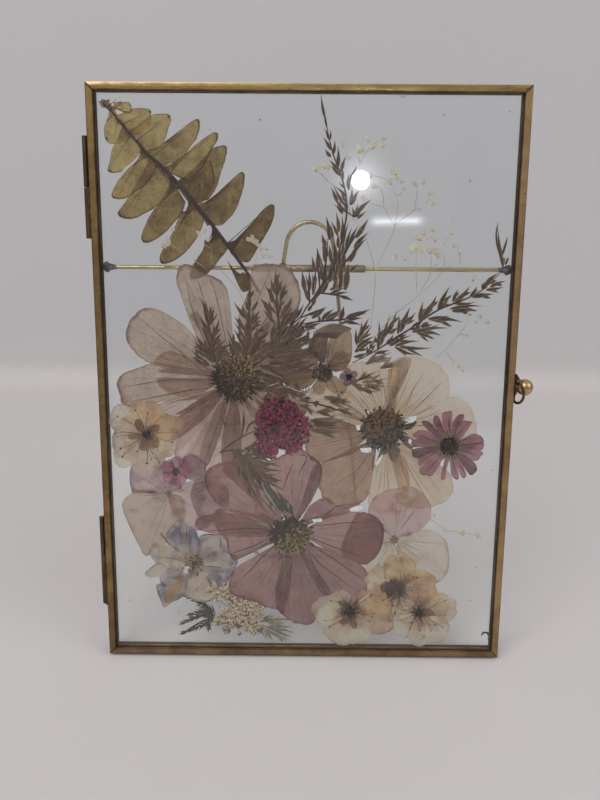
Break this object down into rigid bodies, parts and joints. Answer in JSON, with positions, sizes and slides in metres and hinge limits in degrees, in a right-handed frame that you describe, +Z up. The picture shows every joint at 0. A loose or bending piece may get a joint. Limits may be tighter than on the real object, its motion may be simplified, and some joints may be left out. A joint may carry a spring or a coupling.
{
  "type": "pressed flower frame",
  "caption": "Two hinged, brass-framed glass panes that hold pressed flowers and leaves between them, with a side clasp and a folding wire stand at the back.",
  "frame": {"origin": "centre of the base: the middle of the bounding box in plan, on the surface that the lower back edge and the stand's foot rest on", "axes": "+Z up, +Y towards the stand behind the frame, +X to the right seen from the front. The panes lean back 10 degrees from +Z."},
  "size_m": [0.1392, 0.0622, 0.1801],
  "materials": {
    "antique_brass": "aged satin brass with brown tarnish",
    "window_glass": "clear polished",
    "grey_solder": "dull",
    "dried_fern": "matt, dried",
    "dark_leaves": "matt, dried",
    "cream_petals": "matt, translucent",
    "dusty_petals": "matt, translucent",
    "mauve_petals": "matt, translucent",
    "blue_petals": "matt, translucent",
    "crimson_petals": "matt, dried",
    "brown_petals": "matt, dried"
  },
  "bodies": {
    "back_leaf": {"back_glass": "window_glass", "back_rail_bottom": "antique_brass", "back_rail_left": "antique_brass", "back_rail_right": "antique_brass", "back_rail_top": "antique_brass", "breath_sprig_fern": "cream_petals", "breath_sprig_low": "cream_petals", "breath_sprig_right": "cream_petals", "breath_sprig_side": "cream_petals", "breath_sprig_tall": "cream_petals", "brown_flower": "brown_petals", "clasp_sleeve": "antique_brass", "cosmos_cream": "cream_petals", "cosmos_dusty": "dusty_petals", "cosmos_mauve": "mauve_petals", "cream_cluster": "cream_petals", "crimson_umbel": "crimson_petals", "crossbar": "antique_brass", "daisy_purple": "mauve_petals", "fern_frond": "dried_fern", "floret_pink": "mauve_petals", "hinge_lower_back": "antique_brass", "hinge_lower_pin": "antique_brass", "hinge_upper_back": "antique_brass", "hinge_upper_pin": "antique_brass", "hydrangea_left": "cream_petals", "hydrangea_right": "cream_petals", "larkspur": "blue_petals", "leaf_fan_left": "dark_leaves", "leaf_fan_middle": "dark_leaves", "leaf_fan_right": "dark_leaves", "leaf_green": "dark_leaves", "needle_sprig_left": "dried_fern", "needle_sprig_pale": "cream_petals", "plum_blossom_left": "cream_petals", "plum_blossom_middle": "cream_petals", "plum_blossom_right": "cream_petals", "plum_blossom_upper": "cream_petals", "seed_pod": "brown_petals", "solder_left": "grey_solder", "solder_right": "grey_solder", "spray_right": "dark_leaves", "spray_tall": "dark_leaves", "tiny_purple_flower": "mauve_petals"},
    "front_leaf": {"front_rail_top": "antique_brass", "front_rail_bottom": "antique_brass", "front_rail_left": "antique_brass", "front_rail_right": "antique_brass", "front_glass": "window_glass", "hinge_upper_front": "antique_brass", "hinge_lower_front": "antique_brass", "clasp_ball": "antique_brass"},
    "stand": {"stand_sleeve": "antique_brass", "stand_wire": "antique_brass"},
    "clasp": {"clasp_loop": "antique_brass"}
  },
  "joints": [
    {"name": "leaf_hinge", "type": "hinge", "parent": "back_leaf", "child": "front_leaf", "pos_m": [-0.06872, -0.02868, 0.00044], "axis": [0, -0.1736, -0.9848], "range_deg": [0, 180]},
    {"name": "stand_fold", "type": "hinge", "parent": "back_leaf", "child": "stand", "pos_m": [-0.00118, -0.00286, 0.12657], "axis": [-1, 0, 0], "range_deg": [0, 24]},
    {"name": "clasp_swing", "type": "hinge", "parent": "back_leaf", "child": "clasp", "pos_m": [0.06467, -0.01131, 0.0912], "axis": [0, 0.1736, 0.9848], "range_deg": [0, 120]}
  ]
}
